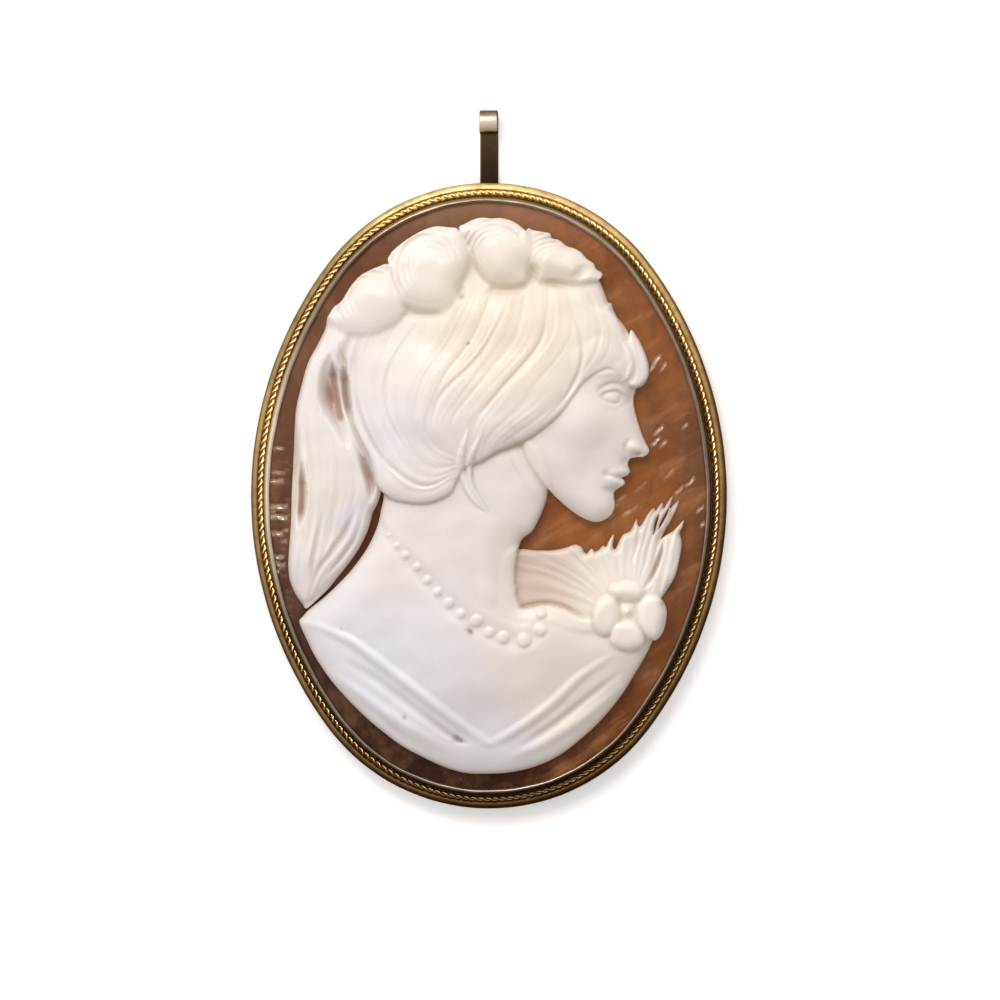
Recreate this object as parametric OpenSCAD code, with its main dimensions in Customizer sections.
// Oval shell cameo pendant: a lady's head and bust carved in the white layer of a two-coloured shell,
// in a metal setting with a twisted wire border and a bail that hinges behind the top.
// Everything is laid out about the oval's centre, with the back of the setting on z = 0.

/* [Setting] */
// Width of the oval setting
setting_w = 35; // [34.8:0.1:35.6]
// Height of the oval setting, without the bail
setting_h = 46; // [45.8:0.1:46.6]
// Width of the outer band, from its edge to the twisted wire's channel
band_w = 0.48; // [0.44:0.01:0.5]
// Height of the outer band
band_h = 1.93; // [1.9:0.01:2.1]
// Width of the channel that the twisted wire lies in
channel_w = 0.52; // [0.5:0.01:0.54]
// Height of the channel's floor
channel_z = 1.8; // [1.76:0.01:1.82]
// Thickness of the bezel wall round the shell
bezel_t = 0.27; // [0.24:0.01:0.3]
// Height of the lip that is turned over the shell
lip_z = 2.95; // [2.9:0.01:3]
// Height of the ledge that the shell sits on
ledge_z = 1.35; // [1.3:0.01:1.4]
// Width of the ledge
ledge_w = 0.95; // [0.8:0.05:1.1]

/* [Twisted wire] */
// Diameter of the twisted wire
wire_d = 0.44; // [0.42:0.01:0.45]
// Full turns of the twist round the whole oval
wire_turns = 80; // [70:2:82]

/* [Shell] */
// Height of the shell's edge under the lip
rim_z = 2.62; // [2.6:0.01:2.64]
// Rise of the shell's dome from its edge to its middle
dome_rise = 1.8; // [1.7:0.05:1.9]
// Thickness of the brown layer
ground_t = 1.6; // [1.4:0.1:1.7]

/* [Figure] */
// Height of the carving at its highest, the hair over the ear, above the brown ground
relief_h = 2.45; // [2.2:0.05:2.6]
// Height of the bare head, from crown to chin
head_h = 18.4; // [18:0.1:18.6]
// Angle that the head is bowed by
head_bow = 12; // [10:1:13]

/* [Bail] */
// Width of the bail's strip
bail_w = 1.33; // [1.2:0.01:1.4]
// Thickness of the bail's strip
bail_t = 0.35; // [0.3:0.01:0.36]
// Reach of the bail above the setting
bail_reach = 5.32; // [4.8:0.02:5.6]
// Radius of the hole in the bail's eye
eye_r = 0.525; // [0.5:0.005:0.55]
// Part of a full turn that the strip is rolled round its eye and its knuckle, in degrees
roll_turn = 285; // [275:1:290]
// Radius of the hinge pin
pin_r = 0.3; // [0.28:0.01:0.3]
// Length of the hinge pin
pin_l = 3; // [2.8:0.1:3.2]

/* [Hidden] */
$fn = 96;

// Clearances between the pieces
play = 0.02;
seat_play = 0.03;
knuckle_play = 0.05;
notch_play = 0.1;

// The oval is four arcs whose centres lie on the corners of 3-4-5 triangles
half_w = setting_w / 2;
half_h = setting_h / 2;
fifth = (half_h - half_w) / 2;
end_y = 3 * fifth;
side_x = 4 * fifth;
end_r = half_h - end_y;
side_r = end_r + 5 * fifth;
join_a = atan2(3, 4);
// Columns: centre x, centre y, radius, first angle, angle covered
ARCS = [
    [-side_x, 0, side_r, -join_a, 2 * join_a],
    [0, end_y, end_r, join_a, 180 - 2 * join_a],
    [side_x, 0, side_r, 180 - join_a, 2 * join_a],
    [0, -end_y, end_r, 180 + join_a, 180 - 2 * join_a],
];
// The corners that bound each arc's wedge, seen from its centre
CORNERS = [[4, -3], [4, 3], [-4, 3], [-4, -3]];
far = 10;

// Insets from the oval's edge
bezel_u = band_w + channel_w;
seat_u = bezel_u + bezel_t;
shell_u = seat_u + seat_play;
lip_u = shell_u + 0.12;
wire_u = band_w + channel_w / 2;
wire_z = channel_z + play + wire_d / 2;
foot_u = 0.2;
foot_z = 0.3;
ledge_t = 0.35;
lip_gap = 0.05;
lip_t = 0.2;

// The dome of the shell bends by one radius across the oval and by a larger one along it
bend_x = (half_w - shell_u) ^ 2 / (2 * dome_rise);
bend_y = (half_h - shell_u) ^ 2 / (2 * dome_rise);
dome_z = rim_z + dome_rise;
dome_sweep = 24;
dome_depth = 8;

// The bail lies on its strip's back, with its knuckle and its eye rolled up from it
knuckle_r = pin_r + knuckle_play;
hinge_z = bail_t + knuckle_r;
hinge_y = half_h - 0.72;
eye_z = bail_t + eye_r;
eye_y = half_h + bail_reach - eye_r - bail_t;
notch_w = bail_w + 2 * notch_play;
notch_l = seat_u + ledge_w + 2;
notch_z = hinge_z + knuckle_r + bail_t + notch_play;
// The oval is set down by half the bail's reach, so that the origin is under the middle of the whole
set_down = -bail_reach / 2;

// The head's own layout: its unit is a seventh of twice its height, with the eyes on its x axis
head_unit = head_h / 3.5;
HEAD = [3.2, 8.68, -head_bow, head_unit];

// Height of the brown ground's face over a point of the oval
function ground_z(p) =
    let (ring = bend_y - bend_x + sqrt(bend_x ^ 2 - p[0] ^ 2))
    dome_z - bend_y + sqrt(ring ^ 2 - p[1] ^ 2);

// A smooth line through rows of numbers, with a number of steps from each row to the next
function blend(a, b, c, d, t) =
    0.5 * (2 * b + (c - a) * t + (2 * a - 5 * b + 4 * c - d) * t ^ 2 + (3 * b - a - 3 * c + d) * t ^ 3);
function smooth(rows, steps) =
    let (last = len(rows) - 1)
    [
        for (i = [0 : last - 1], s = [0 : steps - 1])
            blend(rows[max(i - 1, 0)], rows[i], rows[i + 1], rows[min(i + 2, last)], s / steps),
        rows[last]
    ];

// A point of the oval seen in a form's own layout: place is [x, y, turn, size]
HERE = [0, 0, 0, 1];
function unplaced(p, place) = let (q = [p[0] - place[0], p[1] - place[1]] / place[3]) [
    q[0] * cos(place[2]) + q[1] * sin(place[2]),
    q[1] * cos(place[2]) - q[0] * sin(place[2]),
];
function raised(p, h) = [p[0], p[1], ground_z(p) + h];
function limit(v, low, high) = max(low, min(high, v));

// A form at a point is [f, h]: f is how far in from its edge, negative outside, and h its height there
OUT = [-9, 0];
// Height across a rounded form, from one edge at 0 to the other at 1: a steep side and a full crown
side_part = 0.5;
function crown(t) = side_part + (1 - side_part) * sqrt(1 - abs(2 * t - 1) ^ 2.4);

// A modelled mass. Columns of its rows: y, left edge, right edge, height over the ground
function mass(rows, place = HERE) =
    let (line = smooth(rows, 3))
    [place, line[0][0], line[len(line) - 1][0], for (k = [1 : 3]) [for (row = line) [row[0], row[k]]]];
function mass_at(form, point) =
    let (
        p = unplaced(point, form[0]),
        left = lookup(p[1], form[3]),
        right = lookup(p[1], form[4]),
        f = min(p[0] - left, right - p[0], p[1] - form[1], form[2] - p[1]) * form[0][3]
    )
    f < -1 ? OUT : [f, lookup(p[1], form[5]) * crown(limit((p[0] - left) / (right - left), 0, 1))];

// A lock, leaf or fold: a rounded ridge. Columns of its rows: x, y, width, height over the ground
function lock(rows) =
    let (line = smooth(rows, 2), reach = 0.6 * max([for (row = line) row[2]]))
    [
        min([for (row = line) row[0]]) - reach, max([for (row = line) row[0]]) + reach,
        min([for (row = line) row[1]]) - reach, max([for (row = line) row[1]]) + reach,
        line
    ];
function stretch_at(a, b, p) =
    let (
        run = [b[0] - a[0], b[1] - a[1]],
        t = limit((p - [a[0], a[1]]) * run / (run * run), 0, 1),
        q = a * (1 - t) + b * t,
        d = norm(p - [q[0], q[1]])
    )
    [q[2] / 2 - d, q[3] * (1 - 0.25 * min(1, (2 * d / q[2]) ^ 2))];
function first_by_edge(list, k = 0, best = OUT) =
    k == len(list) ? best : first_by_edge(list, k + 1, list[k][0] > best[0] ? list[k] : best);
function lock_at(form, p) =
    p[0] < form[0] || p[0] > form[1] || p[1] < form[2] || p[1] > form[3] ? OUT :
    first_by_edge([for (k = [0 : len(form[4]) - 2]) stretch_at(form[4][k], form[4][k + 1], p)]);

// A domed oval form. Columns: x, y, half width, half height, turn, height over the ground, ridges round it
brim_part = 0.65;
ridge_depth = 0.1;
function dome_at(row, p) =
    let (
        q = unplaced(p, [row[0], row[1], row[4], 1]),
        s = norm([q[0] / row[2], q[1] / row[3]]),
        swell = brim_part + (1 - brim_part) * sqrt(max(0, 1 - s ^ 2)),
        dip = row[6] > 0 ? ridge_depth * (1 - cos(360 * row[6] * s)) : 0
    )
    s > 2 ? OUT : [(1 - s) * min(row[2], row[3]), row[5] * swell - dip];

// A line between two neighbouring guide lines: s runs from 0 on the first guide to 1 on the last
function between(guides, s) =
    let (k = min(floor(s * (len(guides) - 1)), len(guides) - 2), part = s * (len(guides) - 1) - k)
    guides[k] * (1 - part) + guides[k + 1] * part;

// A closed solid through rings of the same number of points
module skin(rings, closed = false) {
    n = len(rings[0]);
    m = len(rings);
    sides = [
        for (k = [0 : m - (closed ? 1 : 2)], j = [0 : n - 1])
            let (a = k * n + j, b = k * n + (j + 1) % n, up = ((k + 1) % m) * n)
            each [[a, b, up + j], [b, up + (j + 1) % n, up + j]]
    ];
    caps = closed ? [] : [[for (j = [n - 1 : -1 : 0]) j], [for (j = [0 : n - 1]) (m - 1) * n + j]];
    polyhedron([for (ring = rings) each ring], concat(sides, caps));
}

// The wedge in which an arc of the oval is drawn, from the arc's centre
module wedge(k)
    polygon([[0, 0], far * CORNERS[k], far * CORNERS[(k + 1) % 4]]);

// Section of the setting, laid out by inset from the oval's edge and by height
module setting_section() {
    shoulder_z = band_h - band_w;
    polygon([
        [foot_u, 0],
        [seat_u, 0],
        [seat_u, ledge_z - ledge_t],
        [seat_u + ledge_w, ledge_z - ledge_t],
        [seat_u + ledge_w, ledge_z],
        [seat_u, ledge_z],
        [seat_u, rim_z + lip_gap],
        [lip_u, rim_z + lip_gap],
        [lip_u, lip_z - lip_t / 2],
        [lip_u - 0.08, lip_z],
        [bezel_u + 0.1, lip_z],
        [bezel_u, lip_z - lip_t],
        [bezel_u, channel_z],
        [band_w, channel_z],
        [band_w, shoulder_z],
        [0, shoulder_z],
        [0, foot_z],
    ]);
    intersection() {
        translate([band_w, shoulder_z])
            circle(band_w);
        translate([0, shoulder_z])
            square(band_w);
    }
}

module hinge_axis(length, radius)
    translate([-length / 2, hinge_y, hinge_z])
        rotate([0, 90, 0])
            cylinder(h = length, r = radius);

module setting()
    color("goldenrod")
        translate([0, set_down, 0])
            difference() {
                for (k = [0 : 3])
                    translate([ARCS[k][0], ARCS[k][1], 0])
                        intersection() {
                            rotate_extrude()
                                translate([ARCS[k][2], 0])
                                    mirror([1, 0])
                                        setting_section();
                            translate([0, 0, -1])
                                linear_extrude(lip_z + 2)
                                    wedge(k);
                        }
                translate([-notch_w / 2, half_h + 1 - notch_l, -1])
                    cube([notch_w, notch_l, notch_z + 1]);
                hinge_axis(pin_l + 2 * play, pin_r + play);
            }

// The two strands of the wire make a rope of a two-lobed section that turns right-handed as it runs round
// the oval. The section is drawn in between its lobes by a part of its radius
wire_sides = 5;
lobe_dip = 0.12;
rings_per_turn = 6;
wire_rings = wire_turns * rings_per_turn;
side_l = (side_r - wire_u) * 2 * join_a;
end_l = (end_r - wire_u) * (180 - 2 * join_a);
side_rings = round(wire_rings / 2 * side_l / (side_l + end_l));
end_rings = wire_rings / 2 - side_rings;
ARC_RINGS = [side_rings, end_rings, side_rings, end_rings];
FIRST_RINGS = [0, side_rings, wire_rings / 2, wire_rings / 2 + side_rings];
module twisted_wire()
    color("gold")
        translate([0, set_down, 0])
            skin([
                for (k = [0 : 3], i = [0 : ARC_RINGS[k] - 1])
                    let (
                        arc = ARCS[k],
                        a = arc[3] + arc[4] * i / ARC_RINGS[k],
                        turn = 360 * (FIRST_RINGS[k] + i) / rings_per_turn
                    )
                    [
                        for (j = [0 : wire_sides - 1])
                            let (
                                b = 90 + 360 * j / wire_sides,
                                r = wire_d / 2 * (1 - lobe_dip * (1 - cos(2 * (b + turn)))),
                                reach = arc[2] - wire_u + r * cos(b)
                            )
                            [arc[0] + reach * cos(a), arc[1] + reach * sin(a), wire_z + r * sin(b)]
                    ]
            ], closed = true);

// The dome's solid, with its face sunk by a depth below the brown layer's face
module dome_body(depth)
    translate([0, 0, dome_z - bend_y])
        rotate([0, 90, 0])
            rotate([0, 0, 180 - dome_sweep / 2])
                rotate_extrude(angle = dome_sweep)
                    intersection() {
                        translate([bend_y - bend_x, 0])
                            circle(bend_x - depth, $fn = 720);
                        translate([bend_y - dome_depth, -half_w])
                            square([dome_depth, setting_w]);
                    }

module shell_ground()
    color("sienna")
        translate([0, set_down, 0])
            difference() {
                intersection() {
                    translate([0, 0, ledge_z])
                        linear_extrude(dome_z)
                            for (k = [0 : 3])
                                translate([ARCS[k][0], ARCS[k][1]])
                                    intersection() {
                                        circle(ARCS[k][2] - shell_u);
                                        wedge(k);
                                    }
                    dome_body(0);
                }
                dome_body(ground_t);
            }

// Chest, shoulders and neck. Columns: y, left edge, right edge, height
BUST = [
    [-20.3, -1.6, 1.6, 0.9],
    [-19.1, -4.8, 5, 1.2],
    [-17.2, -7.7, 7.4, 1.45],
    [-14.7, -10.4, 9.7, 1.6],
    [-11.8, -12.6, 11.5, 1.7],
    [-9.6, -13.7, 12.5, 1.7],
    [-8.7, -13.4, 7.6, 1.7],
    [-7.7, -12.5, 2.9, 1.7],
    [-6, -10.8, 2.2, 1.6],
    [-4, -9.2, 2.2, 1.5],
    [-2.4, -8.2, 3, 1.4],
    [0, -7.6, 4, 1.4],
    [5.5, -7, 4.6, 1.4],
];
// The hair over the skull. Columns: y, left edge, right edge, height
HAIR = [
    [-0.35, -5.9, -4.1, 1.5],
    [0.2, -7.3, -2.7, 1.8],
    [1.2, -8.1, -1.9, 2.1],
    [2.7, -8.4, -0.2, 2.25],
    [4.3, -9.2, 3, 2.35],
    [6, -10, 5.3, 2.4],
    [8.2, -10.4, 7.2, relief_h],
    [9.4, -10.4, 11.2, relief_h],
    [10.8, -12.2, 11, 2.4],
    [12, -11.9, 10.3, 2.35],
    [13.4, -11.3, 9.5, 2.25],
    [15, -10.2, 8.4, 2.1],
    [16.3, -9, 7.2, 1.95],
    [17.2, -7.2, 6, 1.8],
];
// The long tail of hair behind the neck. Columns: y, left edge, right edge, height
TAIL = [
    [-8.35, -13.35, -13.1, 0.9],
    [-7.6, -13.8, -12.3, 1.1],
    [-6.5, -14.4, -11.2, 1.3],
    [-5, -14.6, -9.9, 1.45],
    [-3, -14.5, -8.6, 1.55],
    [-1.2, -14.4, -8.2, 1.6],
    [0.3, -14.35, -8.5, 1.65],
    [2, -14.25, -8.7, 1.65],
    [3.4, -14.2, -9.3, 1.65],
    [4.8, -14.1, -10.7, 1.65],
    [6.2, -14, -11.6, 1.65],
    [7.6, -13.75, -11.9, 1.65],
    [9, -13.4, -11.6, 1.7],
    [10.2, -12.95, -11.1, 1.8],
    [11.5, -12.3, -10.5, 1.9],
];
// The plume beside the neck. Columns: y, left edge, right edge, height
PLUME = [
    [-8.4, 4, 9, 0.9],
    [-7, 2.3, 13, 1],
    [-5.5, 2.2, 13.7, 1],
    [-4.3, 2.4, 14, 0.9],
    [-3.9, 4.4, 14, 0.85],
    [-3.6, 8.2, 14, 0.8],
    [-2.6, 9.8, 14.1, 0.75],
    [-1.6, 11.2, 13.4, 0.6],
];
// The face and jaw in the head's own layout. Columns: height above the eyes, back edge, front edge, height
FACE = [
    [-1.75, 1.22, 1.4, 1],
    [-1.68, 1.02, 1.47, 1.2],
    [-1.55, 0.72, 1.51, 1.45],
    [-1.43, 0.5, 1.51, 1.6],
    [-1.3, 0.34, 1.46, 1.7],
    [-1.2, 0.24, 1.56, 1.75],
    [-1.14, 0.2, 1.57, 1.8],
    [-1.08, 0.16, 1.51, 1.8],
    [-1.02, 0.12, 1.6, 1.85],
    [-0.95, 0.08, 1.62, 1.85],
    [-0.86, 0.04, 1.56, 1.9],
    [-0.78, 0, 1.59, 1.9],
    [-0.73, 0, 1.74, 1.9],
    [-0.66, 0, 1.82, 1.95],
    [-0.58, 0, 1.82, 1.95],
    [-0.3, 0, 1.63, 2],
    [0, 0, 1.47, 2],
    [0.12, 0, 1.46, 2],
    [0.3, 0, 1.51, 2],
    [0.5, 0, 1.53, 2],
    [0.9, 0, 1.48, 1.95],
    [1.25, 0, 1.32, 1.9],
];
// Hollows of the face in the head's own layout. Columns: x, y, half width, half height, turn, depth
HOLLOWS = [
    [1.2, 0.08, 0.3, 0.18, -15, 0.35],
    [1.4, -1.09, 0.16, 0.08, 0, 0.2],
    [1.42, -0.62, 0.12, 0.2, 20, 0.2],
];

// Guide lines that the hair is combed along, from the crown down. Columns: x, y
COMB = [
    [[-6, 13.6], [-8.9, 11.4], [-9.9, 8], [-9.4, 5], [-8, 2.4], [-6.2, 0.4]],
    [[-3.4, 13.6], [-6, 11.2], [-7.6, 7.8], [-7.5, 4.6], [-6.4, 2.4], [-5, 0.8]],
    [[0, 14.6], [-2, 11.4], [-4.4, 8], [-5.4, 5], [-5, 2.8], [-3.9, 1.2]],
    [[2.6, 15], [2.2, 11.6], [0, 8.4], [-2, 5.6], [-3.2, 3.6], [-2.9, 1.9]],
    [[5, 15], [5.6, 12.2], [4.6, 9.4], [2.4, 7], [0.2, 4.8], [-1.3, 3]],
    [[7, 14.6], [8.3, 12.4], [8.2, 10.4], [7, 8.8], [4.6, 6.6], [2.2, 4.4]],
];
comb_locks = 8;
comb_w = 1.3;
comb_h = 0.14;

// Locks that stand apart. Columns: x, y, width, height
STRANDS = [
    [[8.2, 13.9, 1.1, 2.3], [9.8, 11.8, 1.5, 2.4], [10.6, 9.6, 1.4, 2.4], [10.9, 8, 0.9, 2.2],
        [10.7, 6.9, 0.3, 1.9]],
    [[-10.75, 10.3, 0.3, 1.3], [-10.85, 8, 0.28, 1.1], [-10.5, 6, 0.28, 1.1], [-9.3, 3.6, 0.3, 1.2]],
    [[-0.6, 3.2, 0.6, 1.9], [-1, 1.8, 0.5, 1.75], [-0.4, 0.4, 0.4, 1.7], [0.1, -0.7, 0.2, 1.6]],
];
TAIL_LOCKS = [
    [[-12, 11, 0.7, 2], [-12.9, 8, 0.8, 1.75], [-13.2, 3, 0.9, 1.7], [-13.4, -3, 0.9, 1.6],
        [-13.5, -7, 0.4, 1.2]],
    [[-11.3, 11, 0.7, 2], [-12.4, 7.6, 0.7, 1.8], [-12.1, 3, 1, 1.8], [-12.2, -3, 1, 1.65],
        [-13.1, -7.2, 0.4, 1.2]],
    [[-11.4, 5, 0.6, 1.7], [-10.8, 2, 1, 1.8], [-10.8, -1.5, 1.1, 1.75], [-12.4, -6.4, 0.5, 1.3]],
    [[-10, 3.6, 0.5, 1.65], [-9.4, 1.4, 0.8, 1.75], [-9.2, -1.4, 0.9, 1.65], [-10.6, -4.9, 0.4, 1.4]],
];
// Folds of the neckline. Columns: x, y, width, height
FOLDS = [
    [[-13, -9.3, 0.6, 1.3], [-9, -11.1, 0.8, 1.85], [-5.4, -13.7, 0.8, 1.9], [-2, -16.4, 0.8, 1.75],
        [0.4, -17.9, 0.7, 1.5]],
    [[10.6, -10.6, 0.6, 1.5], [7.8, -12.6, 0.8, 1.8], [5, -14.9, 0.8, 1.85], [2.8, -16.7, 0.8, 1.7],
        [0.4, -17.9, 0.7, 1.5]],
    [[-11, -13.1, 0.5, 1.2], [-8, -14.8, 0.7, 1.6], [-4.6, -16.9, 0.7, 1.6], [-1.6, -18.3, 0.6, 1.4]],
    [[10, -13.2, 0.5, 1.2], [7.4, -15.4, 0.7, 1.6], [4.6, -17.3, 0.7, 1.6], [1.8, -18.6, 0.6, 1.4]],
];
// Curls over the crown. Columns: x, y, half width, half height, turn, height, ridges
CURLS = [
    [-8.7, 13.9, 2.3, 2.1, 40, 2.3, 2],
    [5.3, 16.7, 3.3, 1.95, -35, 2.3, 2],
    [-4.2, 16.8, 3, 3, 0, 2.4, 2],
    [0.6, 17.65, 3.05, 2.8, 0, 2.45, 2],
];
// Beads of the necklace. Columns: x, y, radius
BEADS = [
    [-6.6, -3.45, 0.17], [-6, -4.26, 0.2], [-5.05, -5.07, 0.24], [-4.24, -6.03, 0.28], [-3.58, -6.76, 0.3],
    [-2.77, -7.57, 0.33], [-1.89, -8.4, 0.34], [-0.93, -9.1, 0.42], [0.24, -9.7, 0.38], [1.27, -10.1, 0.42],
    [2.67, -10.4, 0.47], [3.92, -9.6, 0.46], [3.92, -8.5, 0.38],
];
// Petals of the flower and its eye. Columns: x, y, half width, half height, turn, height, ridges
PETALS = [
    [12.05, -9.5, 0.8, 0.85, 0, 1.9, 0],
    [10.3, -6.65, 1.3, 0.68, 0, 2.1, 0],
    [8.8, -8.65, 1, 1.38, 0, 2.2, 0],
    [12.1, -8.35, 1, 1.25, 10, 2.1, 0],
    [10.35, -10, 1.28, 0.98, 0, 2.2, 0],
    [10.4, -8.15, 0.55, 0.6, 0, 2.1, 0],
];
// Barbs of the plume, from the flower outward. Columns: tip x, tip y, width, root x, root y
BARBS = [
    [2.6, -7.2, 0.5, 8, -7.8], [2.5, -6.2, 0.5, 8, -7.5], [2.5, -5.2, 0.5, 8.2, -7.3],
    [2.8, -4.3, 0.5, 8.4, -7.1], [4.2, -4, 0.5, 8.6, -6.9], [5.6, -4, 0.5, 8.8, -6.8],
    [6.9, -3.9, 0.5, 9, -6.7], [8.1, -3.7, 0.5, 9.3, -6.6],
    [9.2, -2.9, 0.55, 9.7, -6.5], [10.3, -2.2, 0.6, 10.2, -6.4], [11.3, -1.5, 0.6, 10.7, -6.4],
    [12.7, -0.4, 0.6, 11.3, -6.4], [13.65, 0.05, 0.34, 11.8, -6.5], [14.05, -0.35, 0.3, 12.1, -6.6],
    [14.4, -1.75, 0.3, 12.4, -6.8], [13.75, -2.45, 1, 12.6, -7],
];

function comb_lock(s) =
    let (guide = smooth(between(COMB, s), 2), last = len(guide) - 1)
    lock([
        for (i = [0 : last])
            let (p = guide[i])
            [each p, comb_w * sin(25 + 130 * i / last), mass_at(HAIR_MASS, p)[1] + comb_h]
    ]);
function barb(row) =
    let (
        tip = [row[0], row[1]],
        root = [row[3], row[4]],
        middle = (tip + root) / 2 + [0.06, 0.03] * norm(tip - root)
    )
    lock([[each root, row[2] * 0.8, 1.4], [each middle, row[2], 1.15], [each tip, row[2] * 0.4, 0.7]]);
function bead(row) =
    let (at = [row[0], row[1]])
    [each at, row[2], row[2], 0, mass_at(BUST_MASS, at)[1] + 0.8 * row[2], 0];

HAIR_MASS = mass(HAIR);
BUST_MASS = mass(BUST);
MASSES = [HAIR_MASS, BUST_MASS, mass(TAIL), mass(PLUME), mass(FACE, HEAD)];
LOCKS = [
    for (i = [0 : comb_locks - 1]) comb_lock(i / (comb_locks - 1)),
    for (rows = TAIL_LOCKS) lock(rows),
    for (rows = FOLDS) lock(rows),
    for (rows = STRANDS) lock(rows),
    for (row = BARBS) barb(row),
];
DOMES = [each CURLS, each PETALS, for (row = BEADS) bead(row)];

// How deep the hollows of the face are at a point
function hollow_at(p) =
    let (q = unplaced(p, HEAD))
    max([
        for (row = HOLLOWS)
            let (r = unplaced(q, [row[0], row[1], row[4], 1]), s = norm([r[0] / row[2], r[1] / row[3]]))
            row[5] * max(0, 1 - s ^ 2)
    ]);

// The whole figure at a point: the highest of its forms
soft_edge = 0.05;
function figure_at(p) =
    let (all = [
        for (form = MASSES) mass_at(form, p),
        for (form = LOCKS) lock_at(form, p),
        for (row = DOMES) dome_at(row, p)
    ])
    [
        max([for (v = all) v[0]]),
        max([for (v = all) v[0] > -soft_edge ? v[1] : 0]) - hollow_at(p)
    ];

// The figure is sampled on a grid. Each point of it holds x, y, f and h
cell = 0.63;
grid_corner = [-15, -20.9];
grid_cells = [47, 66];
function grid() = [
    for (j = [0 : grid_cells[1]]) [
        for (i = [0 : grid_cells[0]])
            let (p = grid_corner + cell * [i, j])
            [each p, each figure_at(p)]
    ]
];

// Where the figure's edge crosses the way from one grid point to the next
edge_part = 0.8;
function crossing(p, q) =
    p[2] < q[2] ? crossing(q, p) :
    let (t = limit(p[2] / (p[2] - q[2]), 0.12, 0.88))
    [p[0] + t * (q[0] - p[0]), p[1] + t * (q[1] - p[1]), 0, p[3] * edge_part];
// The part of a triangle that lies in the figure: its corners, with the edge's points marked by f = 0
function kept(tri) = [
    for (k = [0 : 2])
        let (p = tri[k], q = tri[(k + 1) % 3])
        each concat(p[2] > 0 ? [p] : [], (p[2] > 0) != (q[2] > 0) ? [crossing(p, q)] : [])
];
least_h = 0.2;
function top_of(p) = raised(p, max(p[3], least_h));
function foot_of(p) = raised(p, play);

// The closed solid of the figure: its carved top, its foot on the ground's face, and the walls between
module carved(points) {
    pieces = [
        for (j = [0 : len(points) - 2], i = [0 : len(points[0]) - 2])
            let (a = points[j][i], b = points[j][i + 1], c = points[j + 1][i + 1], d = points[j + 1][i])
            for (tri = (i + j) % 2 == 0 ? [[a, b, c], [a, c, d]] : [[a, b, d], [b, c, d]])
                let (piece = kept(tri))
                if (len(piece) > 0) piece
    ];
    triangles = [
        for (piece = pieces)
            let (n = len(piece))
            each [
                for (k = [1 : n - 2])
                    each [
                        [top_of(piece[0]), top_of(piece[k + 1]), top_of(piece[k])],
                        [foot_of(piece[0]), foot_of(piece[k]), foot_of(piece[k + 1])]
                    ],
                for (k = [0 : n - 1])
                    let (p = piece[k], q = piece[(k + 1) % n])
                    if (p[2] == 0 && q[2] == 0)
                        each [[top_of(p), top_of(q), foot_of(q)], [top_of(p), foot_of(q), foot_of(p)]]
            ]
    ];
    polyhedron(
        [for (t = triangles) each t],
        [for (k = [0 : len(triangles) - 1]) [3 * k, 3 * k + 1, 3 * k + 2]]
    );
}

module shell_relief()
    color("ivory")
        translate([0, set_down, 0])
            carved(grid());

module roll(y, z, r, start)
    translate([0, y, z])
        rotate([0, 90, 0])
            rotate([0, 0, start])
                rotate_extrude(angle = roll_turn)
                    translate([r, -bail_w / 2])
                        square([bail_t, bail_w]);

module bail()
    color("tan")
        translate([0, set_down, 0]) {
            roll(eye_y, eye_z, eye_r, 0);
            roll(hinge_y, hinge_z, knuckle_r, 360 - roll_turn);
            translate([-bail_w / 2, hinge_y, 0])
                cube([bail_w, eye_y - hinge_y, bail_t]);
        }

module hinge_pin()
    color("darkgoldenrod")
        translate([0, set_down, 0])
            hinge_axis(pin_l, pin_r);

setting();
twisted_wire();
shell_ground();
shell_relief();
bail();
hinge_pin();
